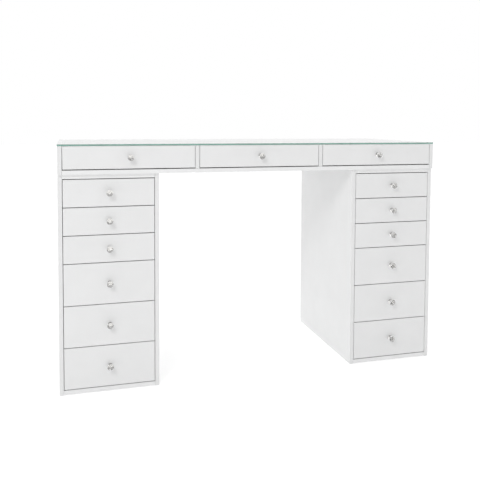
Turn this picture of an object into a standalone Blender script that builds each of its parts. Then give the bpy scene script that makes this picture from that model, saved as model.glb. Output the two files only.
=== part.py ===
"""Salon styling station: a glass-topped worktop box with three shallow drawers, standing on two
pedestals of six drawers each. Metres, +Z up, the drawer fronts face -Y, and left is -X. The origin
is on the floor, under the middle of the bounding box.

The worktop box and the pedestals are boards. Every drawer is a front, a box and a knob, and it rolls
on a pair of steel roller runners: a channel fixed to the carcass, with a roller at its front end, and
an angle under the drawer box, with a roller at its back end."""

import math

import bmesh
import bpy
from mathutils import Vector

# Overall size
WIDTH = 1.300
HEIGHT = 0.785
BOARD = 0.0133  # half-inch board with a laminate on each face
SIDE_GAP = 0.0017  # the shadow gap beside each drawer front
DRAWER_GAP = 0.0025  # above and below each front in the pedestals
WORKTOP_LOW_GAP = 0.0032  # below the fronts in the worktop
GLASS_GAP = 0.0015  # between them and the glass
TOUCH_GAP = 0.0003  # between pieces that bear on each other

# Glass top, held off the boards by clear pads
GLASS_DEPTH = 0.500
GLASS_THICKNESS = 0.005
GLASS_CORNER_RADIUS = 0.004
GLASS_CORNER_STEPS = 4
GLASS_ARRIS = 0.0008
GLASS_SIDE_OVERHANG = 0.001
GLASS_FRONT_OVERHANG = 0.002
PAD_HEIGHT = 0.001

# Worktop box
WORKTOP_DEPTH = 0.497
WORKTOP_LOW = 0.6915
DRAWERS_ABREAST = 3

# Pedestals
PEDESTAL_WIDTH = 0.3115
PEDESTAL_SETBACK = 0.009
PEDESTAL_FLOOR_GAP = 0.0015  # the bottom board sits this far above the sides' lower edges
BACK_THICKNESS = 0.005
BACK_INSET = 0.010
GROOVE_DEPTH = 0.006
SMALL_FRONT = 0.0855
SMALL_DRAWERS = 3
LARGE_DRAWERS = 3

# Drawer boxes
BOX_LENGTH = 0.430
BOX_SIDE = 0.012
BOX_BACK_DROP = 0.004  # the back of the box is this much lower than its sides
BOTTOM_THICKNESS = 0.004
BOTTOM_RISE = 0.008
BOX_RISE = 0.012  # the box stands this far above the lower edge of its front
WORKTOP_BOX_HEIGHT = 0.052
SMALL_BOX_HEIGHT = 0.060
LARGE_BOX_HEIGHT = 0.100

# Roller runners, in the gap between a drawer box and the carcass
RUNNER_GAP = 0.0125
RUNNER_LENGTH = 0.400
RUNNER_STEEL = 0.0012
RUNNER_START = 0.003  # behind the back face of the drawer front
RUNNER_BITE = 0.0005  # how far a runner sinks into its board, so that the two are one body
CHANNEL_HEIGHT = 0.018
CHANNEL_LOWER_FLANGE = 0.0095
CHANNEL_UPPER_FLANGE = 0.006
CHANNEL_RISE = 0.003  # the channel's underside is above the lower edge of the box
ANGLE_REACH = 0.0085  # of the drawer member's upper flange, out over the channel
ANGLE_CLEARANCE = 0.0025
ANGLE_FOOT = 0.0105
ROLLER_RADIUS = 0.0065
ROLLER_WIDTH = 0.0055
ROLLER_SIDES = 12
ROLLER_INSET = 0.009  # from the end of the runner to the roller's axis
FRONT_ROLLER_NOTCH = 0.020  # the channel's upper flange is cut back here, clear of the roller

# Knobs: a turned foot and a cut crystal, with the screw that holds them to the front
KNOB_SIDES = 12
KNOB_REACH = 0.024
SCREW_HOLE_RADIUS = 0.0026
SCREW_RADIUS = 0.002
SCREW_HEAD_RADIUS = 0.0042
SCREW_HEAD_THICKNESS = 0.0025
FRONT_ARRIS = 0.0006
# (distance in front of the drawer front, radius), from the foot to the flat face of the crystal
KNOB_OUTLINE = (
    (TOUCH_GAP, 0.0080),
    (0.0018, 0.0080),
    (0.0034, 0.0046),
    (0.0054, 0.0040),
    (0.0079, 0.0064),
    (0.0090, 0.0066),
    (0.0172, 0.0102),
    (0.0184, 0.0102),
    (0.0215, 0.0084),
    (KNOB_REACH, 0.0060),
)

# Places worked out from the sizes
WORKTOP_HALF = WIDTH / 2 - GLASS_SIDE_OVERHANG
WORKTOP_TOP = HEIGHT - GLASS_THICKNESS - PAD_HEIGHT
GLASS_BACK_OVERHANG = GLASS_DEPTH - WORKTOP_DEPTH - GLASS_FRONT_OVERHANG
WORKTOP_FRONT = (KNOB_REACH - WORKTOP_DEPTH - GLASS_BACK_OVERHANG) / 2
WORKTOP_BACK = WORKTOP_FRONT + WORKTOP_DEPTH
PEDESTAL_FRONT = WORKTOP_FRONT + PEDESTAL_SETBACK
PEDESTAL_TOP = WORKTOP_LOW - TOUCH_GAP
PEDESTAL_INSIDE = PEDESTAL_WIDTH - 2 * BOARD
DIVIDERS = DRAWERS_ABREAST - 1
WORKTOP_OPENING = (2 * WORKTOP_HALF - (2 + DIVIDERS) * BOARD) / DRAWERS_ABREAST


def clear_scene():
    for obj in list(bpy.data.objects):
        bpy.data.objects.remove(obj)


def make_material(name, colour, roughness, metallic=0.0, transmission=0.0):
    material = bpy.data.materials.new(name)
    material.use_nodes = True
    shader = material.node_tree.nodes["Principled BSDF"]
    shader.inputs["Base Color"].default_value = (*colour, 1.0)
    shader.inputs["Roughness"].default_value = roughness
    shader.inputs["Metallic"].default_value = metallic
    shader.inputs["Transmission Weight"].default_value = transmission
    return material


def add_object(name, mesh_builder, material, parent=None, location=(0, 0, 0)):
    """Turns a finished BMesh into a named object."""
    bmesh.ops.recalc_face_normals(mesh_builder, faces=mesh_builder.faces)
    mesh = bpy.data.meshes.new(name)
    mesh_builder.to_mesh(mesh)
    mesh_builder.free()
    mesh.materials.append(material)
    obj = bpy.data.objects.new(name, mesh)
    obj.parent = parent
    obj.location = location
    bpy.context.scene.collection.objects.link(obj)
    return obj


def add_board(name, low, high, material, parent=None):
    """A rectangular board between two corners, with its origin at its middle."""
    low, high = Vector(low), Vector(high)
    shape = bmesh.new()
    bmesh.ops.create_cube(shape, size=1.0)
    bmesh.ops.scale(shape, vec=high - low, verts=shape.verts)
    return add_object(name, shape, material, parent, (low + high) / 2)


def extrude_outline(shape, outline, place, start, end):
    """Adds a closed prism to a BMesh. place(a, b, c) puts outline point (a, b) at distance c along it."""
    ends = [[shape.verts.new(place(a, b, c)) for a, b in outline] for c in (start, end)]
    shape.faces.new(ends[0])
    shape.faces.new(ends[1])
    for i in range(len(outline)):
        j = (i + 1) % len(outline)
        shape.faces.new((ends[0][i], ends[0][j], ends[1][j], ends[1][i]))


def add_turned(shape, outline, sides, place):
    """Adds a solid of revolution with flat ends. place(d, x, z) puts a point at distance d along it."""
    rings = []
    for distance, radius in outline:
        angles = [2 * math.pi * (i + 0.5) / sides for i in range(sides)]
        ring = [place(distance, radius * math.cos(a), radius * math.sin(a)) for a in angles]
        rings.append([shape.verts.new(point) for point in ring])
    for near, far in zip(rings, rings[1:]):
        for i in range(sides):
            j = (i + 1) % sides
            shape.faces.new((near[i], near[j], far[j], far[i]))
    shape.faces.new(rings[0])
    shape.faces.new(rings[-1])


def modify_with(obj, operation, shape, name, parent=None):
    """Joins or cuts the closed shapes in a BMesh with the object, by a Boolean with a hidden helper."""
    helper = add_object(name, shape, obj.data.materials[0], parent)
    helper.hide_render = True
    helper.display_type = "WIRE"
    boolean = obj.modifiers.new(name, "BOOLEAN")
    boolean.operation = operation
    boolean.object = helper
    boolean.solver = "EXACT"


def bevel_edges(obj, width):
    bevel = obj.modifiers.new("arris", "BEVEL")
    bevel.width = width
    bevel.segments = 1
    bevel.limit_method = "ANGLE"


# Runners --------------------------------------------------------------------------------------


def channel_outline():
    """The carcass member in section: (distance from the board's face, height)."""
    steel, top = RUNNER_STEEL, CHANNEL_HEIGHT
    return (
        (-RUNNER_BITE, 0.0),
        (CHANNEL_LOWER_FLANGE, 0.0),
        (CHANNEL_LOWER_FLANGE, steel),
        (steel, steel),
        (steel, top - steel),
        (CHANNEL_UPPER_FLANGE, top - steel),
        (CHANNEL_UPPER_FLANGE, top),
        (-RUNNER_BITE, top),
    )


def channel_end_outline():
    """The carcass member's front end, where the upper flange is cut away for the roller."""
    steel = RUNNER_STEEL
    web_top = CHANNEL_HEIGHT - steel
    return (
        (-RUNNER_BITE, 0.0),
        (CHANNEL_LOWER_FLANGE, 0.0),
        (CHANNEL_LOWER_FLANGE, steel),
        (steel, steel),
        (steel, web_top),
        (-RUNNER_BITE, web_top),
    )


def angle_outline():
    """The drawer member in section: (distance in from the box's outer face, height above its edge)."""
    steel = RUNNER_STEEL
    flange = CHANNEL_RISE + CHANNEL_HEIGHT + ANGLE_CLEARANCE
    return (
        (-ANGLE_REACH, flange),
        (-steel, flange),
        (-steel, -steel),
        (ANGLE_FOOT, -steel),
        (ANGLE_FOOT, RUNNER_BITE),
        (RUNNER_BITE, RUNNER_BITE),
        (RUNNER_BITE, flange + steel),
        (-ANGLE_REACH, flange + steel),
    )


def add_carcass_runners(board, runners, parent=None):
    """Fixes channels and their front rollers to a board. A runner is (the x of the board's face, the
    direction to the drawer, the y of the drawer front's back face, the z of the drawer box's edge)."""
    channels, rollers = bmesh.new(), bmesh.new()
    for face_x, towards, front_y, edge_z in runners:
        low = edge_z + CHANNEL_RISE

        def place(a, b, c):
            return (face_x + towards * a, c, low + b)

        start = front_y + RUNNER_START
        notch = start + FRONT_ROLLER_NOTCH
        extrude_outline(channels, channel_outline(), place, notch, start + RUNNER_LENGTH)
        extrude_outline(rollers, channel_end_outline(), place, start, notch + RUNNER_BITE)
    name = board.name
    modify_with(board, "UNION", channels, name + "_channels", parent)
    modify_with(board, "UNION", rollers, name + "_channel_ends", parent)
    wheels = bmesh.new()
    for face_x, towards, front_y, edge_z in runners:
        flange = edge_z + CHANNEL_RISE + CHANNEL_HEIGHT + ANGLE_CLEARANCE
        centre_y = front_y + RUNNER_START + ROLLER_INSET
        centre_z = flange - TOUCH_GAP - ROLLER_RADIUS
        near = RUNNER_STEEL - RUNNER_BITE
        outline = ((near, ROLLER_RADIUS), (near + ROLLER_WIDTH, ROLLER_RADIUS))
        add_turned(
            wheels,
            outline,
            ROLLER_SIDES,
            lambda d, a, b: (face_x + towards * d, centre_y + a, centre_z + b),
        )
    modify_with(board, "UNION", wheels, name + "_rollers", parent)


def add_drawer_runners(box, half_width, edge_z, front_y, parent):
    """Fixes the two angles and their back rollers to a drawer box."""
    angles, wheels = bmesh.new(), bmesh.new()
    roller_y = front_y + RUNNER_LENGTH - ROLLER_INSET
    roller_z = edge_z + CHANNEL_RISE + RUNNER_STEEL + TOUCH_GAP + ROLLER_RADIUS
    for towards in (-1, 1):
        extrude_outline(
            angles,
            angle_outline(),
            lambda a, b, c: (towards * (half_width - a), c, edge_z + b),
            front_y,
            front_y + RUNNER_LENGTH,
        )
        near = RUNNER_STEEL - RUNNER_BITE
        outline = ((near, ROLLER_RADIUS), (near + ROLLER_WIDTH, ROLLER_RADIUS))
        add_turned(
            wheels,
            outline,
            ROLLER_SIDES,
            lambda d, a, b: (towards * (half_width + d), roller_y + a, roller_z + b),
        )
    modify_with(box, "UNION", angles, box.name + "_angles", parent)
    modify_with(box, "UNION", wheels, box.name + "_rollers", parent)


# Drawers --------------------------------------------------------------------------------------


def add_drawer_front(name, parent, width, height, material):
    front = add_board(
        name + "_front",
        (-width / 2, 0, -height / 2),
        (width / 2, BOARD, height / 2),
        material,
        parent,
    )
    bevel_edges(front, FRONT_ARRIS)
    hole = bmesh.new()
    outline = ((-BOARD, SCREW_HOLE_RADIUS), (2 * BOARD, SCREW_HOLE_RADIUS))
    add_turned(hole, outline, KNOB_SIDES, lambda d, a, b: (a, d, b))
    modify_with(front, "DIFFERENCE", hole, front.name + "_hole", parent)


def add_drawer_box(name, parent, opening, low_z, height, material):
    """Two sides and a bottom as one outline along the box, and the back let in between the sides."""
    half = opening / 2 - RUNNER_GAP
    inside = half - BOX_SIDE
    top = low_z + height
    floor_low = low_z + BOTTOM_RISE
    floor_top = floor_low + BOTTOM_THICKNESS
    outline = (
        (-half, low_z),
        (-inside, low_z),
        (-inside, floor_low),
        (inside, floor_low),
        (inside, low_z),
        (half, low_z),
        (half, top),
        (inside, top),
        (inside, floor_top),
        (-inside, floor_top),
        (-inside, top),
        (-half, top),
    )
    start = BOARD + TOUCH_GAP
    end = start + BOX_LENGTH
    shape = bmesh.new()
    extrude_outline(shape, outline, lambda a, b, c: (a, c, b), start, end)
    box = add_object(name + "_box", shape, material, parent)

    back = bmesh.new()
    bite = RUNNER_BITE
    back_low, back_top = floor_top - bite, top - BOX_BACK_DROP
    corners = (
        (-inside - bite, back_low),
        (inside + bite, back_low),
        (inside + bite, back_top),
        (-inside - bite, back_top),
    )
    extrude_outline(back, corners, lambda a, b, c: (a, c, b), end - BOX_SIDE, end - bite)
    modify_with(box, "UNION", back, box.name + "_back", parent)
    add_drawer_runners(box, half, low_z, start, parent)


def add_knob(name, parent, material):
    """Foot, crystal and fixing screw, turned about the axis through the front."""
    head_face = -BOARD - TOUCH_GAP
    outline = (
        (head_face - SCREW_HEAD_THICKNESS, SCREW_HEAD_RADIUS),
        (head_face, SCREW_HEAD_RADIUS),
        (head_face, SCREW_RADIUS),
        (TOUCH_GAP, SCREW_RADIUS),
    ) + KNOB_OUTLINE
    shape = bmesh.new()
    add_turned(shape, outline, KNOB_SIDES, lambda d, a, b: (a, -d, b))
    add_object(name + "_knob", shape, material, parent)


def add_drawer(name, centre_x, front_y, low_z, height, opening, box_height, materials):
    """A whole drawer under an empty on the knob's axis, along which it slides."""
    slide = bpy.data.objects.new(name + "_slide", None)
    slide.location = (centre_x, front_y, low_z + height / 2)
    bpy.context.scene.collection.objects.link(slide)
    width = opening - 2 * SIDE_GAP
    box_low = BOX_RISE - height / 2
    add_drawer_front(name, slide, width, height, materials["board"])
    add_drawer_box(name, slide, opening, box_low, box_height, materials["drawer_box"])
    add_knob(name, slide, materials["knob"])


# Worktop --------------------------------------------------------------------------------------


def add_glass_top(material):
    """A rounded rectangle with ground edges."""
    half_x = WIDTH / 2 - GLASS_CORNER_RADIUS
    half_y = GLASS_DEPTH / 2 - GLASS_CORNER_RADIUS
    outline = []
    for corner, (sign_x, sign_y) in enumerate(((1, 1), (-1, 1), (-1, -1), (1, -1))):
        for step in range(GLASS_CORNER_STEPS + 1):
            angle = math.pi / 2 * (corner + step / GLASS_CORNER_STEPS)
            x = sign_x * half_x + GLASS_CORNER_RADIUS * math.cos(angle)
            y = sign_y * half_y + GLASS_CORNER_RADIUS * math.sin(angle)
            outline.append((x, y))
    shape = bmesh.new()
    half_z = GLASS_THICKNESS / 2
    extrude_outline(shape, outline, lambda a, b, c: (a, b, c), -half_z, half_z)
    middle_y = WORKTOP_FRONT - GLASS_FRONT_OVERHANG + GLASS_DEPTH / 2
    glass = add_object("glass_top", shape, material, None, (0, middle_y, HEIGHT - half_z))
    bevel_edges(glass, GLASS_ARRIS)


def worktop_runner(centre_x, towards):
    """The runner on the board beside a worktop drawer. towards is -1 on the drawer's right side."""
    face_x = centre_x - towards * WORKTOP_OPENING / 2
    edge_z = WORKTOP_LOW + BOARD + WORKTOP_LOW_GAP + BOX_RISE
    return (face_x, towards, WORKTOP_FRONT + BOARD, edge_z)


def worktop_drawer_centres():
    pitch = WORKTOP_OPENING + BOARD
    return [(i - (DRAWERS_ABREAST - 1) / 2) * pitch for i in range(DRAWERS_ABREAST)]


def add_worktop_box(material):
    inner = WORKTOP_HALF - BOARD
    centres = worktop_drawer_centres()
    for side, name in ((-1, "worktop_left_side"), (1, "worktop_right_side")):
        xs = sorted((side * inner, side * WORKTOP_HALF))
        board = add_board(
            name,
            (xs[0], WORKTOP_FRONT, WORKTOP_LOW),
            (xs[1], WORKTOP_BACK, WORKTOP_TOP),
            material,
        )
        outermost = centres[0] if side < 0 else centres[-1]
        add_carcass_runners(board, [worktop_runner(outermost, -side)])
    reach = inner - TOUCH_GAP
    add_board(
        "worktop_bottom",
        (-reach, WORKTOP_FRONT, WORKTOP_LOW),
        (reach, WORKTOP_BACK, WORKTOP_LOW + BOARD),
        material,
    )

    # The back board and the two dividers are one comb, glued up before it goes in.
    near, far = WORKTOP_OPENING / 2, WORKTOP_OPENING / 2 + BOARD
    inside_back = WORKTOP_BACK - BOARD
    outline = (
        (-reach, inside_back),
        (-far, inside_back),
        (-far, WORKTOP_FRONT),
        (-near, WORKTOP_FRONT),
        (-near, inside_back),
        (near, inside_back),
        (near, WORKTOP_FRONT),
        (far, WORKTOP_FRONT),
        (far, inside_back),
        (reach, inside_back),
        (reach, WORKTOP_BACK),
        (-reach, WORKTOP_BACK),
    )
    shape = bmesh.new()
    low = WORKTOP_LOW + BOARD + TOUCH_GAP
    extrude_outline(shape, outline, lambda a, b, c: (a, b, c), low, WORKTOP_TOP)
    comb = add_object("worktop_back_and_dividers", shape, material)
    left, middle, right = centres
    runners = [
        worktop_runner(left, -1),
        worktop_runner(middle, 1),
        worktop_runner(middle, -1),
        worktop_runner(right, 1),
    ]
    add_carcass_runners(comb, runners)


def add_worktop_drawers(materials):
    low = WORKTOP_LOW + BOARD + WORKTOP_LOW_GAP
    height = WORKTOP_TOP + PAD_HEIGHT - GLASS_GAP - low
    names = ("left", "middle", "right")
    for name, centre_x in zip(names, worktop_drawer_centres()):
        add_drawer(
            f"worktop_{name}_drawer",
            centre_x,
            WORKTOP_FRONT,
            low,
            height,
            WORKTOP_OPENING,
            WORKTOP_BOX_HEIGHT,
            materials,
        )


# Pedestals ------------------------------------------------------------------------------------


def pedestal_drawer_places():
    """(low z, front height, box height) of each drawer of a pedestal, from the top down."""
    count = SMALL_DRAWERS + LARGE_DRAWERS
    top = PEDESTAL_TOP - BOARD
    bottom = PEDESTAL_FLOOR_GAP + BOARD
    fronts = top - bottom - (count + 1) * DRAWER_GAP
    large_front = (fronts - SMALL_DRAWERS * SMALL_FRONT) / LARGE_DRAWERS
    places = []
    for i in range(count):
        small = i < SMALL_DRAWERS
        height = SMALL_FRONT if small else large_front
        top -= DRAWER_GAP + height
        places.append((top, height, SMALL_BOX_HEIGHT if small else LARGE_BOX_HEIGHT))
    return places


def add_pedestal_side(name, outer_x, inwards, material):
    """A side with the groove that holds the back, and a runner for each drawer on its inner face."""
    back = WORKTOP_BACK
    groove_back = back - BACK_INSET + TOUCH_GAP
    groove_front = back - BACK_INSET - BACK_THICKNESS - TOUCH_GAP
    groove_floor = BOARD - GROOVE_DEPTH
    outline = (
        (0, PEDESTAL_FRONT),
        (BOARD, PEDESTAL_FRONT),
        (BOARD, groove_front),
        (groove_floor, groove_front),
        (groove_floor, groove_back),
        (BOARD, groove_back),
        (BOARD, back),
        (0, back),
    )
    shape = bmesh.new()
    extrude_outline(
        shape, outline, lambda a, b, c: (outer_x + inwards * a, b, c), 0, PEDESTAL_TOP
    )
    board = add_object(name, shape, material)
    face_x = outer_x + inwards * BOARD
    runners = [
        (face_x, inwards, PEDESTAL_FRONT + BOARD, low + BOX_RISE)
        for low, _, _ in pedestal_drawer_places()
    ]
    add_carcass_runners(board, runners)


def add_pedestal(name, side, materials):
    """side is -1 for the left pedestal and 1 for the right one."""
    material = materials["board"]
    outer_x = side * WORKTOP_HALF
    inner_x = side * (WORKTOP_HALF - PEDESTAL_WIDTH)
    centre_x = (outer_x + inner_x) / 2
    add_pedestal_side(name + "_outer_side", outer_x, -side, material)
    add_pedestal_side(name + "_inner_side", inner_x, side, material)

    half = PEDESTAL_INSIDE / 2 - TOUCH_GAP
    shelf_back = WORKTOP_BACK - BACK_INSET - BACK_THICKNESS - TOUCH_GAP
    shelves = (("_top", PEDESTAL_TOP - BOARD), ("_bottom", PEDESTAL_FLOOR_GAP))
    for part, low_z in shelves:
        add_board(
            name + part,
            (centre_x - half, PEDESTAL_FRONT, low_z),
            (centre_x + half, shelf_back, low_z + BOARD),
            material,
        )

    back_half = PEDESTAL_INSIDE / 2 + GROOVE_DEPTH - TOUCH_GAP
    add_board(
        name + "_back",
        (centre_x - back_half, shelf_back + TOUCH_GAP, PEDESTAL_FLOOR_GAP),
        (centre_x + back_half, shelf_back + TOUCH_GAP + BACK_THICKNESS, PEDESTAL_TOP),
        materials["back_panel"],
    )

    for number, (low, height, box_height) in enumerate(pedestal_drawer_places(), start=1):
        add_drawer(
            f"{name}_drawer_{number}",
            centre_x,
            PEDESTAL_FRONT,
            low,
            height,
            PEDESTAL_INSIDE,
            box_height,
            materials,
        )


def main():
    clear_scene()
    materials = {
        "board": make_material("white_board", (0.86, 0.86, 0.85), 0.45),
        "back_panel": make_material("white_hardboard", (0.82, 0.82, 0.80), 0.6),
        "drawer_box": make_material("drawer_board", (0.80, 0.80, 0.78), 0.55),
        "glass": make_material("float_glass", (0.80, 0.93, 0.88), 0.02, 0.0, 1.0),
        "knob": make_material("crystal_and_chrome", (0.90, 0.92, 0.93), 0.05, 0.3, 0.6),
    }
    add_glass_top(materials["glass"])
    add_worktop_box(materials["board"])
    add_worktop_drawers(materials)
    add_pedestal("left_pedestal", -1, materials)
    add_pedestal("right_pedestal", 1, materials)


main()
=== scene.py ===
"""The looks of a salon styling station: a white desk with a clear glass top on two pedestals of drawers.

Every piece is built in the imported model's own frame (metres, +Z up, drawers facing -Y), with its place
read from the CAD node that it stands for, and rides on that node's body."""

import math

import bmesh
import bpy
from mathutils import Matrix, Vector


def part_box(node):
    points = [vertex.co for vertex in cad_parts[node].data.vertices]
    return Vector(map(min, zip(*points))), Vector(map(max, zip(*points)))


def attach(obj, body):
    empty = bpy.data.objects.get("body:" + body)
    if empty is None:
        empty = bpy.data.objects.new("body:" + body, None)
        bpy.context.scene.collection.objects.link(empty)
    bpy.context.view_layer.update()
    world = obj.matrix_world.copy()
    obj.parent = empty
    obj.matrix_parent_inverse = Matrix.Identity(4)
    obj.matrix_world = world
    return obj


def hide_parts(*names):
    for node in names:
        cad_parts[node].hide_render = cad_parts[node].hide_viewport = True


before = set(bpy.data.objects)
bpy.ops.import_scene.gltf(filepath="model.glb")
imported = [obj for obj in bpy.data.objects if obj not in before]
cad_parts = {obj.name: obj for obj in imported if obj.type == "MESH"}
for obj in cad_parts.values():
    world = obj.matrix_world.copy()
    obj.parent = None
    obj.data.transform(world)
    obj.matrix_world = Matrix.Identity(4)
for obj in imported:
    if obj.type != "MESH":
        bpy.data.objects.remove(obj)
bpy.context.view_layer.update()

# Sizes that the design states, repeated here
BOARD = 0.0133
TOUCH_GAP = 0.0003
GLASS_CORNER_RADIUS = 0.004
GROOVE_DEPTH = 0.006
BACK_THICKNESS = 0.005
BACK_INSET = 0.010
BOX_LENGTH = 0.430
BOX_SIDE = 0.012
BOX_BACK_DROP = 0.004
BOTTOM_THICKNESS = 0.004
BOTTOM_RISE = 0.008
RUNNER_LENGTH = 0.400
RUNNER_STEEL = 0.0012
RUNNER_START = 0.003
CHANNEL_HEIGHT = 0.018
CHANNEL_LOWER_FLANGE = 0.0095
CHANNEL_UPPER_FLANGE = 0.006
CHANNEL_RISE = 0.003
ANGLE_REACH = 0.0085
ANGLE_CLEARANCE = 0.0025
ANGLE_FOOT = 0.0105
ROLLER_RADIUS = 0.0065
ROLLER_WIDTH = 0.0055
ROLLER_INSET = 0.009
FRONT_ROLLER_NOTCH = 0.020
KNOB_REACH = 0.024

# Finer shapes, which only the looks have
SEAM = 0.0001  # between boards that meet
LAP = 0.00005  # between a runner and its board
BAND = 0.0008  # thickness of the edge banding

# Eased edges
BOARD_ARRIS = 0.0006
FRONT_ARRIS = 0.0005
TRAY_SIDE_ARRIS = 0.0009
TRAY_BACK_ARRIS = 0.0007
TRAY_BOTTOM_ARRIS = 0.0003
GLASS_ARRIS = 0.0008

# Runners
BEND = 0.0010  # outer radius of the bends
RUNNER_SCREWS = (0.037, 0.133, 0.261, 0.357)  # from the runner's front end
ANGLE_SCREW_RISE = 0.012

# Screw heads: (radius, height)
CHANNEL_SCREW = (0.0030, 0.0012)
ANGLE_SCREW = (0.0032, 0.0011)
TRAY_SCREW = (0.0034, 0.0003)
KNOB_SCREW = (0.0042, 0.0024)
CAM = (0.0075, 0.0006)
KNOB_SHANK_RADIUS = 0.0020

# Places of the cam fittings
TRAY_CAM_SETBACK = 0.034  # behind the drawer front
TRAY_CAM_SPREAD = 0.022  # above and below the middle
SHALLOW_TRAY = 0.08  # lower trays have one cam in each side
CARCASS_CAM_INSET = (0.034, 0.060)  # from a board's end, and from its front and back

PAD_RADIUS = 0.0045
PAD_SETBACK = 0.030
GLIDE_RADIUS = 0.0100
GLIDE_INSET = (0.020, 0.022)  # from a board's end, and from its front and back

PEDESTALS = ("left_pedestal", "right_pedestal")
WORKTOP_DRAWERS = [f"worktop_{place}_drawer" for place in ("left", "middle", "right")]
PEDESTAL_DRAWERS = {p: [f"{p}_drawer_{i}" for i in range(1, 7)] for p in PEDESTALS}
DRAWERS = WORKTOP_DRAWERS + [name for p in PEDESTALS for name in PEDESTAL_DRAWERS[p]]


# Materials ------------------------------------------------------------------------------------

NOISE_LOW, NOISE_HIGH = 0.3, 0.7  # where most of a noise texture's values lie


def new_material(name, colour, roughness, metallic=0.0):
    """A material and its Principled shader."""
    material = bpy.data.materials.new(name)
    material.use_nodes = True
    tree = material.node_tree
    shader = tree.nodes["Principled BSDF"]
    shader.inputs["Base Color"].default_value = (*colour, 1.0)
    shader.inputs["Roughness"].default_value = roughness
    shader.inputs["Metallic"].default_value = metallic
    return material, shader


def add_node(material, kind, **inputs):
    node = material.node_tree.nodes.new(kind)
    for key, value in inputs.items():
        node.inputs[key.replace("_", " ")].default_value = value
    return node


def join(material, source, target):
    material.node_tree.links.new(source, target)


def add_noise(material, scale, detail=3.0, stretch=(1, 1, 1)):
    """Noise in object coordinates; scale is in features per metre."""
    place = add_node(material, "ShaderNodeTexCoord")
    mapping = add_node(material, "ShaderNodeMapping", Scale=stretch)
    noise = add_node(material, "ShaderNodeTexNoise", Scale=scale, Detail=detail)
    join(material, place.outputs["Object"], mapping.inputs["Vector"])
    join(material, mapping.outputs["Vector"], noise.inputs["Vector"])
    return noise.outputs["Fac"]


def add_waves(material, scale, direction, distortion=0.6):
    """Parallel ridges in object coordinates; scale is in ridges per metre."""
    place = add_node(material, "ShaderNodeTexCoord")
    waves = add_node(
        material, "ShaderNodeTexWave", Scale=scale / math.pi, Distortion=distortion, Detail_Scale=2.0
    )
    waves.bands_direction = direction
    join(material, place.outputs["Object"], waves.inputs["Vector"])
    return waves.outputs["Fac"]


def spread(material, source, low, high):
    """Maps the middle of a noise's range to low..high."""
    remap = add_node(
        material, "ShaderNodeMapRange", From_Min=NOISE_LOW, From_Max=NOISE_HIGH, To_Min=low, To_Max=high
    )
    join(material, source, remap.inputs["Value"])
    return remap.outputs["Result"]


def vary_colour(material, shader, source, dark, light):
    ramp = add_node(material, "ShaderNodeValToRGB")
    ramp.color_ramp.elements[0].position = NOISE_LOW
    ramp.color_ramp.elements[0].color = (*dark, 1.0)
    ramp.color_ramp.elements[1].position = NOISE_HIGH
    ramp.color_ramp.elements[1].color = (*light, 1.0)
    join(material, source, ramp.inputs["Fac"])
    join(material, ramp.outputs["Color"], shader.inputs["Base Color"])


def vary_roughness(material, shader, source, low, high):
    join(material, spread(material, source, low, high), shader.inputs["Roughness"])


def add_bumps(material, shader, layers):
    """Stacks bumps on the shader's normal. Each layer is (height socket, depth in metres, strength)."""
    normal = None
    for height, depth, strength in layers:
        bump = add_node(material, "ShaderNodeBump", Distance=depth, Strength=strength)
        join(material, height, bump.inputs["Height"])
        if normal:
            join(material, normal, bump.inputs["Normal"])
        normal = bump.outputs["Normal"]
    join(material, normal, shader.inputs["Normal"])


def tint(colour, amount):
    return tuple(channel * amount for channel in colour)


def laminate():
    """Satin white melamine: a fine stipple, slow waves of the board under it, faint handling marks."""
    white = (0.795, 0.797, 0.798)
    material, shader = new_material("white_laminate", white, 0.4)
    mottle = add_noise(material, 14.0, 4.0)
    vary_colour(material, shader, mottle, tint(white, 0.985), tint(white, 1.01))
    vary_roughness(material, shader, add_noise(material, 32.0, 5.0), 0.34, 0.46)
    stipple = add_noise(material, 1400.0, 2.0)
    waves = add_noise(material, 26.0, 1.0)
    add_bumps(material, shader, [(waves, 0.00012, 0.5), (stipple, 0.00003, 0.6)])
    return material


def edge_band(name, along, white):
    """The plastic strip ironed on to the boards' edges: glossier, with fine lines along its length."""
    material, shader = new_material(name, white, 0.3)
    stretch = tuple(0.02 if axis == along else 1.0 for axis in "XYZ")
    streaks = add_noise(material, 900.0, 3.0, stretch)
    vary_colour(material, shader, add_noise(material, 20.0), tint(white, 0.98), tint(white, 1.01))
    vary_roughness(material, shader, streaks, 0.26, 0.34)
    add_bumps(material, shader, [(streaks, 0.00001, 0.4)])
    return material


def drawer_foil():
    """Matte white foil with a linen emboss, on the drawer boxes."""
    white = (0.80, 0.80, 0.79)
    material, shader = new_material("drawer_foil", white, 0.55)
    vary_colour(material, shader, add_noise(material, 60.0, 5.0), tint(white, 0.97), tint(white, 1.02))
    vary_roughness(material, shader, add_noise(material, 90.0), 0.48, 0.62)
    warp = add_waves(material, 900.0, "Y")
    weft = add_waves(material, 900.0, "Z")
    add_bumps(material, shader, [(warp, 0.00004, 0.4), (weft, 0.00004, 0.4)])
    return material


def hardboard():
    """White-painted hardboard for the backs and the drawer bottoms: pebbled, with a few fibres."""
    white = (0.80, 0.798, 0.785)
    material, shader = new_material("painted_hardboard", white, 0.6)
    fibres = add_noise(material, 240.0, 6.0, (1.0, 0.25, 1.0))
    vary_colour(material, shader, fibres, tint(white, 0.955), tint(white, 1.015))
    vary_roughness(material, shader, add_noise(material, 50.0), 0.52, 0.68)
    pebble = add_noise(material, 480.0, 3.0)
    add_bumps(material, shader, [(pebble, 0.00008, 0.5), (fibres, 0.00004, 0.4)])
    return material


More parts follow.
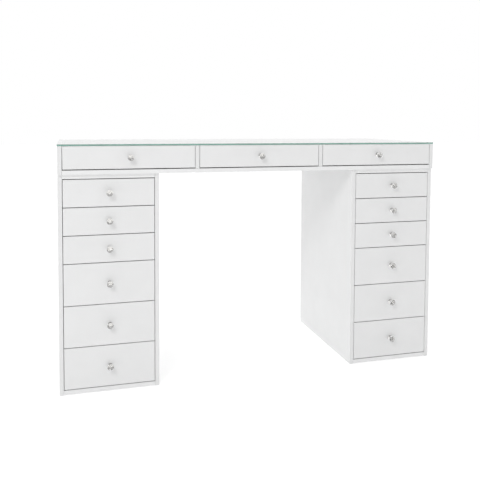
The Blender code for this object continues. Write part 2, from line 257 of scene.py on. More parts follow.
def clear_glass():
    """Float glass: clear, faintly green, with the slightest roller wave."""
    material, shader = new_material("float_glass", (0.985, 0.998, 0.992), 0.01)
    shader.inputs["Transmission Weight"].default_value = 1.0
    shader.inputs["IOR"].default_value = 1.52
    vary_roughness(material, shader, add_noise(material, 18.0, 5.0), 0.0, 0.035)
    add_bumps(material, shader, [(add_noise(material, 3.5, 1.0), 0.0004, 0.1)])
    return material


def glass_edge():
    """The ground and polished edge of the sheet, where its green shows."""
    green = (0.272, 0.497, 0.423)
    material, shader = new_material("glass_edge", green, 0.22)
    shader.inputs["Transmission Weight"].default_value = 0.35
    shader.inputs["IOR"].default_value = 1.52
    lines = add_noise(material, 260.0, 3.0, (0.04, 0.04, 6.0))
    vary_colour(material, shader, lines, tint(green, 0.88), tint(green, 1.10))
    vary_roughness(material, shader, lines, 0.14, 0.30)
    add_bumps(material, shader, [(lines, 0.00003, 0.4)])
    return material


def crystal():
    """Cut lead-free crystal."""
    material, shader = new_material("cut_crystal", (0.98, 0.977, 0.970), 0.01)
    shader.inputs["Transmission Weight"].default_value = 0.93
    shader.inputs["IOR"].default_value = 1.58
    vary_roughness(material, shader, add_noise(material, 300.0), 0.0, 0.03)
    return material


def chrome():
    """Polished chrome on a die-cast foot, with polishing haze."""
    silver = (0.84, 0.835, 0.82)
    material, shader = new_material("polished_chrome", silver, 0.08, 1.0)
    haze = add_noise(material, 700.0, 4.0)
    vary_colour(material, shader, haze, tint(silver, 0.94), tint(silver, 1.04))
    vary_roughness(material, shader, haze, 0.05, 0.14)
    add_bumps(material, shader, [(haze, 0.00001, 0.4)])
    return material


def coated_steel():
    """White epoxy powder coat on the rolled runners."""
    white = (0.78, 0.78, 0.77)
    material, shader = new_material("powder_coated_steel", white, 0.35)
    peel = add_noise(material, 900.0, 2.0)
    vary_colour(material, shader, add_noise(material, 120.0, 4.0), tint(white, 0.96), tint(white, 1.02))
    vary_roughness(material, shader, peel, 0.28, 0.42)
    add_bumps(material, shader, [(peel, 0.00003, 0.6)])
    return material


def nylon():
    """Moulded nylon of the rollers."""
    cream = (0.78, 0.775, 0.74)
    material, shader = new_material("moulded_nylon", cream, 0.45)
    vary_colour(material, shader, add_noise(material, 350.0), tint(cream, 0.95), tint(cream, 1.02))
    vary_roughness(material, shader, add_noise(material, 500.0), 0.36, 0.54)
    add_bumps(material, shader, [(add_noise(material, 1600.0), 0.00002, 0.4)])
    return material


def zinc_plate():
    """Zinc-plated screws and cams."""
    grey = (0.60, 0.60, 0.58)
    material, shader = new_material("zinc_plate", grey, 0.32, 0.9)
    spangle = add_noise(material, 1100.0, 4.0)
    vary_colour(material, shader, spangle, tint(grey, 0.85), tint(grey, 1.08))
    vary_roughness(material, shader, spangle, 0.25, 0.42)
    add_bumps(material, shader, [(spangle, 0.00002, 0.5)])
    return material


def soft_pad():
    """Clear polyurethane of the pads under the glass."""
    material, shader = new_material("clear_polyurethane", (0.93, 0.94, 0.94), 0.2)
    shader.inputs["Transmission Weight"].default_value = 0.35
    shader.inputs["IOR"].default_value = 1.47
    vary_roughness(material, shader, add_noise(material, 400.0), 0.14, 0.28)
    add_bumps(material, shader, [(add_noise(material, 900.0), 0.00003, 0.4)])
    return material


def grey_plastic():
    """Moulded plastic of the glides."""
    grey = (0.33, 0.33, 0.33)
    material, shader = new_material("grey_plastic", grey, 0.5)
    vary_colour(material, shader, add_noise(material, 300.0), tint(grey, 0.9), tint(grey, 1.08))
    vary_roughness(material, shader, add_noise(material, 300.0), 0.42, 0.6)
    add_bumps(material, shader, [(add_noise(material, 1500.0), 0.00003, 0.5)])
    return material


MATERIALS = {
    "laminate": laminate(),
    "upright_band": edge_band("upright_edge_banding", "Z", (0.780, 0.783, 0.783)),
    # this banding is painted lighter than the upright banding, as painted light on the fronts' edges and
    # the level boards' edges; the real banding is one plastic of one tone
    "level_band_painted_light": edge_band("level_edge_banding_painted_light", "X", (0.825, 0.828, 0.828)),
    "drawer_foil": drawer_foil(),
    "hardboard": hardboard(),
    "clear_glass": clear_glass(),
    "glass_edge": glass_edge(),
    "crystal": crystal(),
    "chrome": chrome(),
    "steel": coated_steel(),
    "nylon": nylon(),
    "zinc": zinc_plate(),
    "pad": soft_pad(),
    "glide": grey_plastic(),
}


# Shapes ---------------------------------------------------------------------------------------


def add_piece(name, shape, materials, body, nodes=(), smooth_angle=None):
    """Turns a finished BMesh into a piece that rides on a body and stands for the given CAD nodes."""
    bmesh.ops.recalc_face_normals(shape, faces=shape.faces)
    mesh = bpy.data.meshes.new(name)
    shape.to_mesh(mesh)
    shape.free()
    for material in materials:
        mesh.materials.append(MATERIALS[material])
    piece = bpy.data.objects.new(name, mesh)
    if smooth_angle is not None:
        mesh.shade_smooth()
        mesh.set_sharp_from_angle(angle=math.radians(smooth_angle))
        piece.modifiers.new("flat faces stay flat", "WEIGHTED_NORMAL").keep_sharp = True
    bpy.context.scene.collection.objects.link(piece)
    if nodes:
        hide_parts(*nodes)
    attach(piece, body)
    return piece


def add_prism(shape, outline, place, start, end, material=0):
    """Adds a closed prism. place(a, b, c) puts outline point (a, b) at distance c along it."""
    ends = [[shape.verts.new(place(a, b, c)) for a, b in outline] for c in (start, end)]
    faces = [shape.faces.new(ends[0]), shape.faces.new(ends[1])]
    count = len(outline)
    for i in range(count):
        j = (i + 1) % count
        faces.append(shape.faces.new((ends[0][i], ends[0][j], ends[1][j], ends[1][i])))
    for face in faces:
        face.material_index = material
    return faces


def ease_edges(shape, faces, width, segments=2, sharper_than=30):
    """Rounds the sharp edges of some faces."""
    bmesh.ops.recalc_face_normals(shape, faces=faces)
    edges = dict.fromkeys(edge for face in faces for edge in face.edges)
    sharp = [e for e in edges if e.calc_face_angle(0.0) > math.radians(sharper_than)]
    bmesh.ops.bevel(
        shape, geom=sharp, offset=width, segments=segments, profile=0.5, affect="EDGES", clamp_overlap=True
    )


def add_board(shape, low, high, arris=BOARD_ARRIS, material=0, bands=(), band_material=1):
    """A board with eased edges. bands lists the sides that have edge banding, such as "-y"."""
    part = bmesh.new()
    corners = ((low[0], low[1]), (high[0], low[1]), (high[0], high[1]), (low[0], high[1]))
    faces = add_prism(part, corners, lambda a, b, c: (a, b, c), low[2], high[2], material)
    ease_edges(part, faces, arris)
    for band in bands:
        axis = "xyz".index(band[1])
        sign = -1 if band[0] == "-" else 1
        outer = high[axis] if sign > 0 else low[axis]
        point = [0.0, 0.0, 0.0]
        normal = [0.0, 0.0, 0.0]
        point[axis] = outer - sign * BAND
        normal[axis] = sign
        everything = part.verts[:] + part.edges[:] + part.faces[:]
        bmesh.ops.bisect_plane(part, geom=everything, plane_co=point, plane_no=normal)
        for face in part.faces:
            if sign * (face.calc_center_median()[axis] - point[axis]) > 0:
                face.material_index = band_material
    append_shape(shape, part)


def append_shape(shape, part):
    """Moves a BMesh's contents into another one."""
    mesh = bpy.data.meshes.new("part")
    part.to_mesh(mesh)
    part.free()
    shape.from_mesh(mesh)
    bpy.data.meshes.remove(mesh)


def add_turned(shape, outline, sides, place, material=0, radius_at=None):
    """A solid of revolution. outline is (distance, radius) from end to end, and place(d, a, b) puts a
    point at distance d along the axis. radius_at(i, radius, step) may change a ring's radius."""
    rings = []
    for step, (distance, radius) in enumerate(outline):
        ring = []
        for i in range(sides):
            angle = 2 * math.pi * i / sides
            r = radius_at(i, radius, step) if radius_at else radius
            ring.append(shape.verts.new(place(distance, r * math.cos(angle), r * math.sin(angle))))
        rings.append(ring)
    faces = []
    for near, far in zip(rings, rings[1:]):
        for i in range(sides):
            j = (i + 1) % sides
            faces.append(shape.faces.new((near[i], near[j], far[j], far[i])))
    faces.append(shape.faces.new(rings[0]))
    faces.append(shape.faces.new(rings[-1]))
    for face in faces:
        face.material_index = material
    return faces


def arc(centre, radius, start, end, steps):
    """Points on an arc, angles in degrees."""
    angles = [math.radians(start + (end - start) * i / steps) for i in range(steps + 1)]
    return [(centre[0] + radius * math.cos(a), centre[1] + radius * math.sin(a)) for a in angles]


# Small hardware -------------------------------------------------------------------------------


def add_screw(shape, centre, axis, size, material=0):
    """A pan head with a cross recess, standing on a surface. axis is the surface's outward normal."""
    radius, height = size
    turn = Vector(axis).to_track_quat("Z", "Y").to_matrix()
    centre = Vector(centre)
    arms = {0: 1.0, 1: 0.42, 2: 0.30, 3: 0.42}
    outline = [
        (-0.0004, radius * 0.96),
        (height * 0.35, radius),
        (height * 0.75, radius * 0.86),
        (height * 0.97, radius * 0.66),
        (height, radius * 0.55),
        (height * 0.35, radius * 0.42),
        (height * 0.30, radius * 0.10),
    ]

    def recess(i, ring_radius, step):
        return ring_radius * arms[i % 4] if step == 4 or step == 5 else ring_radius

    add_turned(
        shape,
        outline,
        16,
        lambda d, a, b: centre + turn @ Vector((a, b, d)),
        material,
        recess,
    )


def add_roller(shape, centre, towards, material, axle_material):
    """A nylon wheel on a riveted pin. centre is the middle of its inner face; towards is +1 or -1 in x."""
    lip = 0.0008
    wheel = [
        (0.0, ROLLER_RADIUS - lip),
        (lip, ROLLER_RADIUS),
        (ROLLER_WIDTH - lip, ROLLER_RADIUS),
        (ROLLER_WIDTH, ROLLER_RADIUS - lip),
        (ROLLER_WIDTH, ROLLER_RADIUS * 0.62),
        (ROLLER_WIDTH - 0.0007, ROLLER_RADIUS * 0.56),
        (ROLLER_WIDTH - 0.0007, ROLLER_RADIUS * 0.40),
    ]
    rivet = [
        (ROLLER_WIDTH - 0.0008, ROLLER_RADIUS * 0.34),
        (ROLLER_WIDTH - 0.0002, ROLLER_RADIUS * 0.34),
        (ROLLER_WIDTH + 0.0002, ROLLER_RADIUS * 0.26),
        (ROLLER_WIDTH + 0.0003, ROLLER_RADIUS * 0.12),
    ]

    def place(d, a, b):
        return (centre[0] + towards * d, centre[1] + a, centre[2] + b)

    add_turned(shape, wheel, 28, place, material)
    add_turned(shape, rivet, 14, place, axle_material)


def channel_outline(upper_flange):
    """The carcass member in section, with rolled bends: (distance from the board's face, height)."""
    steel, top, lip = RUNNER_STEEL, CHANNEL_HEIGHT, 0.0014
    inner = BEND - steel * 0.5
    points = arc((BEND, BEND), BEND, 180, 270, 4)
    points += [(CHANNEL_LOWER_FLANGE - BEND, 0.0)]
    points += arc((CHANNEL_LOWER_FLANGE - BEND, BEND), BEND, -80, 0, 3)
    points += [(CHANNEL_LOWER_FLANGE, steel + lip)]
    points += [(CHANNEL_LOWER_FLANGE - steel * 0.6, steel + lip)]
    points += [(CHANNEL_LOWER_FLANGE - steel * 0.6, steel)]
    points += arc((steel + inner, steel + inner), inner, 270, 180, 3)
    if upper_flange:
        points += arc((steel + inner, top - steel - inner), inner, 180, 90, 3)
        points += [(CHANNEL_UPPER_FLANGE, top - steel), (CHANNEL_UPPER_FLANGE, top)]
        points += arc((BEND, top - BEND), BEND, 90, 180, 4)
    else:
        points += [(steel, top - steel), (0.0, top - steel)]
    return points


def angle_outline():
    """The drawer member in section, with rolled bends: (in from the box's outer face, height)."""
    steel = RUNNER_STEEL
    flange = CHANNEL_RISE + CHANNEL_HEIGHT + ANGLE_CLEARANCE
    inner = BEND - steel * 0.5
    points = [(-ANGLE_REACH, flange)]
    points += arc((-steel - inner, flange - inner), inner, 90, 0, 3)
    points += arc((-steel + BEND, -steel + BEND), BEND, 180, 270, 4)
    points += [(ANGLE_FOOT, -steel), (ANGLE_FOOT, 0.0), (0.0, 0.0)]
    points += arc((-BEND, flange + steel - BEND), BEND, 0, 90, 4)
    points += [(-ANGLE_REACH, flange + steel)]
    return points


def add_channel(shape, face_x, towards, front_y, edge_z):
    """The runner on the carcass: channel, front roller, rear stop and screws."""
    low = edge_z + CHANNEL_RISE
    start = front_y + RUNNER_START
    notch = start + FRONT_ROLLER_NOTCH
    end = start + RUNNER_LENGTH

    def place(a, b, c):
        return (face_x + towards * (a + LAP), c, low + b)

    add_prism(shape, channel_outline(True), place, notch, end)
    add_prism(shape, channel_outline(False), place, start, notch)
    flange = edge_z + CHANNEL_RISE + CHANNEL_HEIGHT + ANGLE_CLEARANCE
    roller_z = flange - TOUCH_GAP - ROLLER_RADIUS
    centre = (face_x + towards * RUNNER_STEEL * 0.6, start + ROLLER_INSET, roller_z)
    add_roller(shape, centre, towards, 1, 2)
    for along in RUNNER_SCREWS:
        centre = (face_x + towards * RUNNER_STEEL, start + along, low + CHANNEL_HEIGHT / 2)
        add_screw(shape, centre, (towards, 0, 0), CHANNEL_SCREW, 2)


def add_drawer_angle(shape, face_x, towards, front_y, edge_z):
    """The runner on a drawer box: angle, rear roller and screws. towards points away from the box."""
    roller_y = front_y + RUNNER_LENGTH - ROLLER_INSET
    roller_z = edge_z + CHANNEL_RISE + RUNNER_STEEL + TOUCH_GAP + ROLLER_RADIUS

    def place(a, b, c):
        return (face_x - towards * a, c, edge_z + b - LAP)

    add_prism(shape, angle_outline(), place, front_y, front_y + RUNNER_LENGTH)
    centre = (face_x + towards * RUNNER_STEEL * 0.6, roller_y, roller_z)
    add_roller(shape, centre, towards, 1, 2)
    for along in RUNNER_SCREWS[::2]:
        centre = (face_x + towards * RUNNER_STEEL, front_y + along, edge_z + ANGLE_SCREW_RISE)
        add_screw(shape, centre, (towards, 0, 0), ANGLE_SCREW, 2)


# Drawers --------------------------------------------------------------------------------------


def build_front(name):
    low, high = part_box(name + "_front")
    shape = bmesh.new()
    add_board(shape, low, high, FRONT_ARRIS, bands=("-x", "+x", "-z", "+z"))
    add_piece(name + "_face", shape, ["laminate", "level_band_painted_light"], name, [name + "_front"])


def drawer_box_corners(name):
    """The box's own outer corners, without its runners."""
    front_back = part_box(name + "_front")[1].y
    low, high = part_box(name + "_box")
    edge_z = low.z + RUNNER_STEEL
    outer = high.x - ANGLE_REACH
    inner = low.x + ANGLE_REACH
    start = front_back + TOUCH_GAP
    return Vector((inner, start, edge_z)), Vector((outer, start + BOX_LENGTH, high.z))


def build_box(name):
    """Sides, back and bottom, each its own board, the bottom let in above the lower edge."""
    low, high = drawer_box_corners(name)
    shape = bmesh.new()
    foil, band, board = 0, 1, 2
    floor_z = low.z + BOTTOM_RISE + BOTTOM_THICKNESS
    add_board(shape, low, (low.x + BOX_SIDE, high.y, high.z), TRAY_SIDE_ARRIS, foil, ("+y",), band)
    add_board(shape, (high.x - BOX_SIDE, low.y, low.z), high, TRAY_SIDE_ARRIS, foil, ("+y",), band)
    back_low = (low.x + BOX_SIDE + SEAM, high.y - BOX_SIDE, floor_z + SEAM)
    back_high = (high.x - BOX_SIDE - SEAM, high.y - SEAM, high.z - BOX_BACK_DROP)
    add_board(shape, back_low, back_high, TRAY_BACK_ARRIS, foil)
    bottom_low = (low.x + BOX_SIDE + SEAM, low.y, low.z + BOTTOM_RISE)
    bottom_high = (high.x - BOX_SIDE - SEAM, high.y - 0.0005, floor_z)
    add_board(shape, bottom_low, bottom_high, TRAY_BOTTOM_ARRIS, board)
    materials = ["drawer_foil", "upright_band", "hardboard"]
    add_piece(name + "_tray", shape, materials, name, [name + "_box"])


def build_drawer_runners(name):
    low, high = drawer_box_corners(name)
    shape = bmesh.new()
    add_drawer_angle(shape, low.x, -1, low.y, low.z)
    add_drawer_angle(shape, high.x, 1, low.y, low.z)
    add_piece(name + "_runners", shape, ["steel", "nylon", "zinc"], name, smooth_angle=40)


def build_drawer_fittings(name):
    """Cams inside the sides that draw the front on, and the screws through the sides into the back."""
    low, high = drawer_box_corners(name)
    shape = bmesh.new()
    middle = (low.z + BOTTOM_RISE + BOTTOM_THICKNESS + high.z) / 2
    heights = [middle]
    if high.z - low.z >= SHALLOW_TRAY:
        heights = [middle - TRAY_CAM_SPREAD, middle + TRAY_CAM_SPREAD]
    for z in heights:
        add_screw(shape, (low.x + BOX_SIDE, low.y + TRAY_CAM_SETBACK, z), (1, 0, 0), CAM)
        add_screw(shape, (high.x - BOX_SIDE, low.y + TRAY_CAM_SETBACK, z), (-1, 0, 0), CAM)
        y = high.y - BOX_SIDE / 2
        add_screw(shape, (low.x, y, z), (-1, 0, 0), TRAY_SCREW)
        add_screw(shape, (high.x, y, z), (1, 0, 0), TRAY_SCREW)
    add_piece(name + "_fittings", shape, ["zinc"], name, smooth_angle=35)


def knob_foot_outline():
    """The turned foot, from the drawer front to the cup that holds the crystal."""
    rim = arc((0.0014, 0.0074), 0.0006, 90, 0, 3)
    flange = [(TOUCH_GAP, 0.0077), (0.0007, 0.0080)] + rim
    neck = [(0.0026, 0.0058), (0.0034, 0.0045), (0.0044, 0.0039), (0.0056, 0.0040)]
    cup = [(0.0068, 0.0050), (0.0080, 0.0064), (0.0092, 0.0073), (0.0101, 0.0075), (0.0106, 0.0072)]
    inside = [(0.0103, 0.0068), (0.0086, 0.0061), (0.0083, 0.0030)]
    return flange + neck + cup + inside


KNOB_TWIST = 17  # degrees from one knob to the next
CRYSTAL_FACETS = 8
CRYSTAL_RADIUS = 0.0102
TABLE_RADIUS = 0.0060
GIRDLE = (0.0172, 0.0184)  # distances in front of the drawer front
CULET = (0.0089, 0.0058)  # (distance, radius) of the flat end inside the cup


def add_crystal(shape, place):
    """A brilliant-cut crystal: table, stars, kites, girdle and a pavilion that ends in the cup."""
    step = 2 * math.pi / CRYSTAL_FACETS

    def ring(count, radius, distance, offset=0.0):
        turns = [2 * math.pi * i / count + offset * step for i in range(count)]
        return [
            shape.verts.new(place(distance, radius * math.cos(t), radius * math.sin(t))) for t in turns
        ]

    crown_slope = (KNOB_REACH - GIRDLE[1]) / (CRYSTAL_RADIUS - TABLE_RADIUS)
    star_radius = 0.5 * (TABLE_RADIUS + CRYSTAL_RADIUS) + 0.0004
    star_height = KNOB_REACH - crown_slope * (star_radius * math.cos(step / 2) - TABLE_RADIUS)
    pavilion_slope = (GIRDLE[0] - CULET[0]) / (CRYSTAL_RADIUS - CULET[1])
    lower_radius = 0.5 * (CULET[1] + CRYSTAL_RADIUS) + 0.0003
    lower_height = CULET[0] + pavilion_slope * (lower_radius * math.cos(step / 2) - CULET[1])
    table = ring(CRYSTAL_FACETS, TABLE_RADIUS, KNOB_REACH)
    stars = ring(CRYSTAL_FACETS, star_radius, star_height, 0.5)
    upper = ring(2 * CRYSTAL_FACETS, CRYSTAL_RADIUS, GIRDLE[1])
    lower = ring(2 * CRYSTAL_FACETS, CRYSTAL_RADIUS, GIRDLE[0])
    waist = ring(CRYSTAL_FACETS, lower_radius, lower_height, 0.5)
    culet = ring(CRYSTAL_FACETS, *reversed(CULET))
    shape.faces.new(table)
    shape.faces.new(culet)
    for i in range(CRYSTAL_FACETS):
        j = (i + 1) % CRYSTAL_FACETS
        for tip, middle, girdle in ((table, stars, upper), (culet, waist, lower)):
            shape.faces.new((tip[i], tip[j], middle[i]))
            shape.faces.new((tip[i], middle[i], girdle[2 * i], middle[i - 1]))
            shape.faces.new((middle[i], girdle[2 * i], girdle[2 * i + 1]))
            shape.faces.new((middle[i], girdle[2 * i + 1], girdle[2 * j]))
    for i in range(2 * CRYSTAL_FACETS):
        j = (i + 1) % (2 * CRYSTAL_FACETS)
        shape.faces.new((upper[i], upper[j], lower[j], lower[i]))


def build_knob(name, number):
    """Foot, fixing screw and crystal. Each crystal is turned a little differently, as screwed on."""
    front_low, front_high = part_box(name + "_front")
    centre = (front_low + front_high) / 2
    twist = math.radians(KNOB_TWIST * number)

    def place(d, a, b):
        x = a * math.cos(twist) - b * math.sin(twist)
        z = a * math.sin(twist) + b * math.cos(twist)
        return (centre.x + x, front_low.y - d, centre.z + z)

    foot = bmesh.new()
    add_turned(foot, knob_foot_outline(), 40, place)
    shank = [(-BOARD - 0.0008, KNOB_SHANK_RADIUS), (0.0002, KNOB_SHANK_RADIUS)]
    add_turned(foot, shank, 16, place, 1)
    add_screw(foot, (centre.x, front_high.y + TOUCH_GAP, centre.z), (0, 1, 0), KNOB_SCREW, 1)
    add_piece(name + "_knob_foot", foot, ["chrome", "zinc"], name, smooth_angle=35)
    stone = bmesh.new()
    add_crystal(stone, place)
    add_piece(name + "_crystal", stone, ["crystal"], name, [name + "_knob"])


# Carcass --------------------------------------------------------------------------------------


def build_plain_board(name, node, bands=("-y",), material="laminate"):
    low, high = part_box(node)
    shape = bmesh.new()
    add_board(shape, low, high, bands=bands)
    return add_piece(name, shape, [material, "level_band_painted_light"], "carcass", [node])


def outer_and_inner_face(node):
    """The x of the board's outer face and of the face that carries its runners."""
    low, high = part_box(node)
    middle = 0.0 if node.startswith("worktop") else pedestal_middle(node)
    if (low.x + high.x) / 2 < middle:
        return low.x, low.x + BOARD
    return high.x, high.x - BOARD


def pedestal_middle(node):
    pedestal = node[: node.index("_pedestal") + len("_pedestal")]
    low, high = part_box(pedestal + "_top")
    return (low.x + high.x) / 2


def build_side(node):
    """A side board. Those of the pedestals have a groove for the back panel."""
    low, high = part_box(node)
    outer, face = outer_and_inner_face(node)
    inwards = 1 if face > outer else -1
    shape = bmesh.new()
    if node.startswith("worktop"):
        x_low, x_high = sorted((outer, face))
        add_board(shape, (x_low, low.y, low.z), (x_high, high.y, high.z), bands=("-y", "+y"))
    else:
        groove_back = high.y - BACK_INSET + TOUCH_GAP
        groove_front = high.y - BACK_INSET - BACK_THICKNESS - TOUCH_GAP
        groove_floor = BOARD - GROOVE_DEPTH
        outline = (
            (0, low.y),
            (BOARD, low.y),
            (BOARD, groove_front),
            (groove_floor, groove_front),
            (groove_floor, groove_back),
            (BOARD, groove_back),
            (BOARD, high.y),
            (0, high.y),
        )
        faces = add_prism(shape, outline, lambda a, b, c: (outer + inwards * a, b, c), low.z, high.z)
        ease_edges(shape, faces, BOARD_ARRIS)
        everything = shape.verts[:] + shape.edges[:] + shape.faces[:]
        bmesh.ops.bisect_plane(
            shape, geom=everything, plane_co=(0, low.y + BAND, 0), plane_no=(0, 1, 0)
        )
        for strip in shape.faces:
            if strip.calc_center_median().y < low.y + BAND:
                strip.material_index = 1
    add_piece(node + "_board", shape, ["laminate", "upright_band"], "carcass", [node])


def build_channels(name, runners):
    """All the runners on one board. A runner is (face x, direction to the drawer, drawer name)."""
    shape = bmesh.new()
    for face_x, towards, drawer in runners:
        edge_z = drawer_box_corners(drawer)[0].z
        front_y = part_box(drawer + "_front")[1].y
        add_channel(shape, face_x, towards, front_y, edge_z)
    add_piece(name, shape, ["steel", "nylon", "zinc"], "carcass", smooth_angle=40)


def build_worktop():
    build_side("worktop_left_side")
    build_side("worktop_right_side")
    build_plain_board("worktop_bottom_board", "worktop_bottom", ("-y", "+y"))

    low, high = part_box("worktop_back_and_dividers")
    shape = bmesh.new()
    add_board(shape, (low.x, high.y - BOARD, low.z), high, bands=("+z",))
    add_piece(
        "worktop_back_board",
        shape,
        ["laminate", "level_band_painted_light"],
        "carcass",
        ["worktop_back_and_dividers"],
    )
    left, middle, right = WORKTOP_DRAWERS
    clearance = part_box(middle + "_front")[0].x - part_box(left + "_front")[1].x - BOARD
    for name, drawer in (("worktop_left_divider", left), ("worktop_right_divider", middle)):
        face_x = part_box(drawer + "_front")[1].x + clearance / 2
        shape = bmesh.new()
        add_board(
            shape,
            (face_x, low.y, low.z),
            (face_x + BOARD, high.y - BOARD - SEAM, high.z),
            bands=("-y", "+z"),
        )
        add_piece(name, shape, ["laminate", "upright_band"], "carcass")
        after = WORKTOP_DRAWERS[WORKTOP_DRAWERS.index(drawer) + 1]
        runners = [(face_x, -1, drawer), (face_x + BOARD, 1, after)]
        build_channels(name + "_channels", runners)
    for node, drawer in (("worktop_left_side", left), ("worktop_right_side", right)):
        outer, face = outer_and_inner_face(node)
        towards = 1 if face > outer else -1
        build_channels(node + "_channels", [(face, towards, drawer)])


def build_pedestal(pedestal):
    for part in ("_outer_side", "_inner_side"):
        node = pedestal + part
        build_side(node)
        outer, face = outer_and_inner_face(node)
        towards = 1 if face > outer else -1
        runners = [(face, towards, drawer) for drawer in PEDESTAL_DRAWERS[pedestal]]
        build_channels(node + "_channels", runners)
    build_plain_board(pedestal + "_top_board", pedestal + "_top")
    build_plain_board(pedestal + "_bottom_board", pedestal + "_bottom")
    build_plain_board(pedestal + "_back_panel", pedestal + "_back", (), "hardboard")


def build_glass():
    """The sheet, with rounded corners and a polished flat edge between two small arrises."""
    low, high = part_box("glass_top")
    radius = GLASS_CORNER_RADIUS
    outline = arc((high.x - radius, high.y - radius), radius, 0, 90, 8)
    outline += arc((low.x + radius, high.y - radius), radius, 90, 180, 8)
    outline += arc((low.x + radius, low.y + radius), radius, 180, 270, 8)
    outline += arc((high.x - radius, low.y + radius), radius, 270, 360, 8)
    shape = bmesh.new()
    faces = add_prism(shape, outline, lambda a, b, c: (a, b, c), low.z, high.z)
    ease_edges(shape, faces, GLASS_ARRIS, 2, 45)
    for face in shape.faces:
        if abs(face.normal.z) < 0.9:
            face.material_index = 1
    materials = ["clear_glass", "glass_edge"]
    nodes = ["glass_top"]
    sheet = add_piece("glass_sheet", shape, materials, "carcass", nodes, smooth_angle=20)
    sheet.visible_shadow = False  # lights the drawers under it, more than real glass would


def build_pads():
    """Clear domed pads on the tops of the boards, which the glass lies on."""
    comb_low, comb_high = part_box("worktop_back_and_dividers")
    under, over = comb_high.z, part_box("glass_top")[0].z
    front = comb_low.y + PAD_SETBACK
    back = comb_high.y - BOARD / 2
    middle = (front + back) / 2
    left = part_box("worktop_left_side")[0].x + BOARD / 2
    middle_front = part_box("worktop_middle_drawer_front")[1].x
    divider = (middle_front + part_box("worktop_right_drawer_front")[0].x) / 2
    shape = bmesh.new()
    dome = [(0.0, 1.0), (0.3, 0.97), (0.7, 0.84), (1.0, 0.60)]  # parts of the height and the radius
    for x in (left, -divider, divider, -left):
        for y in (front, middle, back):
            outline = [(under + t * (over - under), PAD_RADIUS * r) for t, r in dome]
            add_turned(shape, outline, 20, lambda d, a, b: (x + a, y + b, d))
    add_piece("glass_pads", shape, ["pad"], "carcass", smooth_angle=50)


def build_glides():
    """Small nail-on glides under the bottom boards, just behind the fronts and before the backs."""
    shape = bmesh.new()
    for pedestal in PEDESTALS:
        low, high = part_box(pedestal + "_bottom")
        inset_x, inset_y = GLIDE_INSET
        for x in (low.x + inset_x, high.x - inset_x):
            for y in (low.y + inset_y, high.y - inset_y):
                outline = [(low.z, GLIDE_RADIUS), (0.0008, GLIDE_RADIUS)]
                outline += [(0.0002, 0.0092), (0.0001, 0.0070)]
                add_turned(shape, outline, 24, lambda d, a, b: (x + a, y + b, d))
    add_piece("glides", shape, ["glide"], "carcass", smooth_angle=40)


def build_carcass_fittings():
    """Cams under the pedestals' top boards and on their bottom boards, by each side."""
    shape = bmesh.new()
    for pedestal in PEDESTALS:
        top_low, top_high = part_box(pedestal + "_top")
        floor_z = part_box(pedestal + "_bottom")[1].z
        inset_x, inset_y = CARCASS_CAM_INSET
        for x in (top_low.x + inset_x, top_high.x - inset_x):
            for y in (top_low.y + inset_y, top_high.y - inset_y):
                add_screw(shape, (x, y, top_low.z), (0, 0, -1), CAM)
                add_screw(shape, (x, y, floor_z), (0, 0, 1), CAM)
    add_piece("carcass_cams", shape, ["zinc"], "carcass", smooth_angle=35)


for drawer_number, drawer_name in enumerate(DRAWERS):
    build_front(drawer_name)
    build_box(drawer_name)
    build_drawer_runners(drawer_name)
    build_drawer_fittings(drawer_name)
    build_knob(drawer_name, drawer_number)
build_worktop()
for pedestal_name in PEDESTALS:
    build_pedestal(pedestal_name)
build_glass()
build_pads()
build_glides()
build_carcass_fittings()


# Stage, light and camera ----------------------------------------------------------------------

FLOOR_REACH = 20.0
FLOOR_GLOW = 0.30
STUDIO_STOPS = ((0.0, 0.24), (0.20, 0.67), (0.50, 0.87), (0.88, 1.0))  # strength from front to back
CAMERA_PLACE = (-0.613, -2.194, 0.860)
CAMERA_TURN = (15.63, 2.92, 0.28)  # degrees to the right, down, and about the view
CAMERA_SENSOR = 36.0
CAMERA_LENS = 46.35
CAMERA_SHIFT = (-0.004, -0.183)


def build_floor():
    material, shader = new_material("studio_floor", (0.93, 0.93, 0.93), 0.7)
    vary_colour(material, shader, add_noise(material, 2.0), (0.92, 0.92, 0.92), (0.94, 0.94, 0.94))
    shader.inputs["Emission Color"].default_value = (1.0, 1.0, 1.0, 1.0)
    shader.inputs["Emission Strength"].default_value = FLOOR_GLOW
    shape = bmesh.new()
    bmesh.ops.create_grid(shape, x_segments=8, y_segments=8, size=FLOOR_REACH)
    mesh = bpy.data.meshes.new("floor")
    shape.to_mesh(mesh)
    shape.free()
    mesh.materials.append(material)
    floor = bpy.data.objects.new("floor", mesh)
    bpy.context.scene.collection.objects.link(floor)


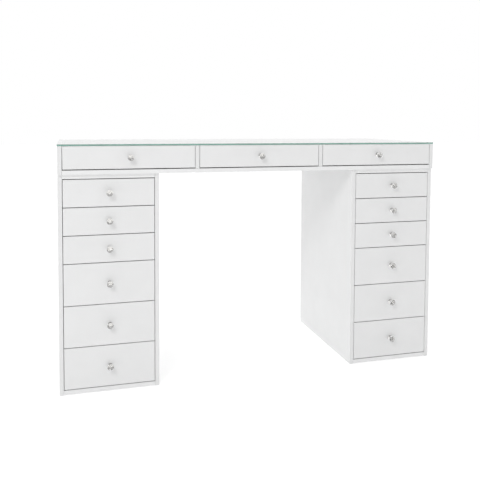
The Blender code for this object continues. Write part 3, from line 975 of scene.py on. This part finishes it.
def build_world():
    """A white studio: brightest far behind the object, and dim only where the camera stands."""
    world = bpy.data.worlds.new("studio")
    world.use_nodes = True
    bpy.context.scene.world = world
    tree = world.node_tree
    background = tree.nodes["Background"]
    background.inputs["Color"].default_value = (1.0, 1.0, 1.0, 1.0)
    place = tree.nodes.new("ShaderNodeTexCoord")
    split = tree.nodes.new("ShaderNodeSeparateXYZ")
    tree.links.new(place.outputs["Generated"], split.inputs["Vector"])
    remap = tree.nodes.new("ShaderNodeMapRange")
    remap.inputs["From Min"].default_value = -1.0
    tree.links.new(split.outputs["Y"], remap.inputs["Value"])
    ramp = tree.nodes.new("ShaderNodeValToRGB")
    for position, strength in STUDIO_STOPS[1:-1]:
        ramp.color_ramp.elements.new(position)
    for element, (position, strength) in zip(ramp.color_ramp.elements, STUDIO_STOPS):
        element.position = position
        element.color = (strength, strength, strength, 1.0)
    tree.links.new(remap.outputs["Result"], ramp.inputs["Fac"])
    tree.links.new(ramp.outputs["Color"], background.inputs["Strength"])


def add_area_light(name, place, target, size, power):
    """A soft lamp that shows in no reflection and through no glass."""
    data = bpy.data.lights.new(name, "AREA")
    data.shape = "RECTANGLE"
    data.size, data.size_y = size
    data.energy = power
    light = bpy.data.objects.new(name, data)
    light.location = place
    light.visible_glossy = False
    light.visible_transmission = False
    light.rotation_euler = (Vector(target) - Vector(place)).to_track_quat("-Z", "Y").to_euler()
    bpy.context.scene.collection.objects.link(light)


def build_camera():
    """From the left of the middle, a little above the worktop."""
    yaw, pitch, roll = (math.radians(a) for a in CAMERA_TURN)
    forward = Vector((math.sin(yaw) * math.cos(pitch), math.cos(yaw) * math.cos(pitch), -math.sin(pitch)))
    level = Vector((math.cos(yaw), -math.sin(yaw), 0.0))
    upright = level.cross(forward)
    right = level * math.cos(roll) + upright * math.sin(roll)
    up = upright * math.cos(roll) - level * math.sin(roll)
    data = bpy.data.cameras.new("camera")
    data.sensor_width = CAMERA_SENSOR
    data.lens = CAMERA_LENS
    data.shift_x, data.shift_y = CAMERA_SHIFT
    camera = bpy.data.objects.new("camera", data)
    turn = Matrix((right, up, -forward)).transposed()
    camera.matrix_world = Matrix.Translation(CAMERA_PLACE) @ turn.to_4x4()
    bpy.context.scene.collection.objects.link(camera)
    bpy.context.scene.camera = camera


build_floor()
build_world()
add_area_light("key_light", (-2.1, -2.9, 3.0), (0.0, 0.0, 0.45), (1.2, 1.2), 41.0)
add_area_light("fill_light", (2.8, -2.6, 1.4), (0.1, 0.0, 0.40), (0.8, 1.6), 2.0)
build_camera()
bpy.context.scene.view_settings.view_transform = "Standard"
